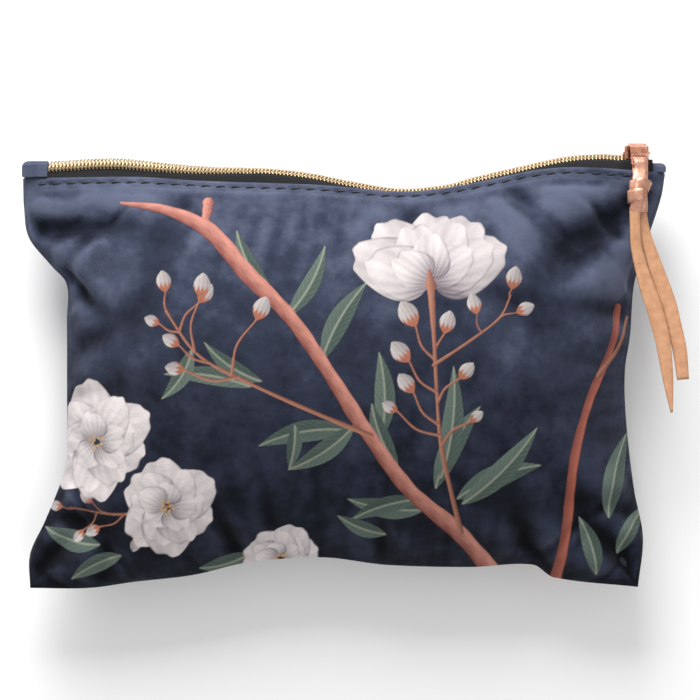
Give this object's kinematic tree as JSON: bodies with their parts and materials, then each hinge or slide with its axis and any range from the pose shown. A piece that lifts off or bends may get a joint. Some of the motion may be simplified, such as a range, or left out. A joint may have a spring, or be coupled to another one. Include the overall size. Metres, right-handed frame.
{
  "type": "zippered pouch",
  "caption": "Stuffed velvet zip pouch lying on its back, botanical print, coil zip along the top edge, slider with a knotted leather thong.",
  "frame": {"origin": "centre of the box around the pouch and its zip, on the floor it lies on; the thong's free tails are left out of the box", "axes": "+X along the zip towards its closed end, +Y from the bottom seam to the zip, +Z out of the printed face"},
  "size_m": [0.2516, 0.1704, 0.0515],
  "materials": {
    "velvet": "printed navy velvet, short pile, matt with a soft sheen",
    "lining": "plain dark woven lining",
    "tape": "black woven zip tape",
    "coil": "nylon coil with a pale gold metallised face",
    "rose_gold": "polished rose gold plating on die-cast zinc and sheet",
    "leather": "natural tan flesh side, metallic rose gold outer side",
    "thread": "dark navy polyester sewing thread"
  },
  "bodies": {
    "back": {"back_panel": "velvet", "back_lining": "lining", "zip_tape_back": "tape", "zip_coil_back": "coil", "topstitch_back": "thread", "zip_tab_left": "velvet", "zip_tab_right": "velvet", "side_seam_thread_left": "thread", "side_seam_thread_right": "thread", "bottom_seam_thread": "thread"},
    "front": {"front_panel": "velvet", "front_lining": "lining", "zip_tape_front": "tape", "zip_coil_front": "coil", "topstitch_front": "thread"},
    "slider": {"slider_body": "rose_gold"},
    "pull": {"pull_tab": "rose_gold"},
    "thong": {"thong_knot": "leather", "thong_tail_front": "leather", "thong_tail_rear": "leather"}
  },
  "joints": [
    {"name": "slider_travel", "type": "slide", "parent": "back", "child": "slider", "axis": [-0.9999, -0.0124, 0], "range_m": [0, 0.218], "deforming": ["zip_tape_back", "zip_coil_back"]},
    {"name": "mouth_open", "type": "hinge", "parent": "back", "child": "front", "pos_m": [0, -0.07697, 0.0245], "axis": [1, 0, 0], "range_deg": [0, 8], "deforming": ["front_panel", "front_lining", "zip_tape_front", "zip_coil_front", "topstitch_front"]},
    {"name": "pull_swing", "type": "hinge", "parent": "slider", "child": "pull", "pos_m": [0.1117, 0.08347, 0.0245], "axis": [-1, 0, 0], "range_deg": [0, 170]},
    {"name": "thong_swing", "type": "hinge", "parent": "pull", "child": "thong", "pos_m": [0.1117, 0.07677, 0.0337], "axis": [-1, 0, 0], "range_deg": [0, 80]}
  ],
  "couplings": [
    {"joint": "mouth_open", "follows": "slider_travel", "rad_per_m": 0.64042}
  ]
}
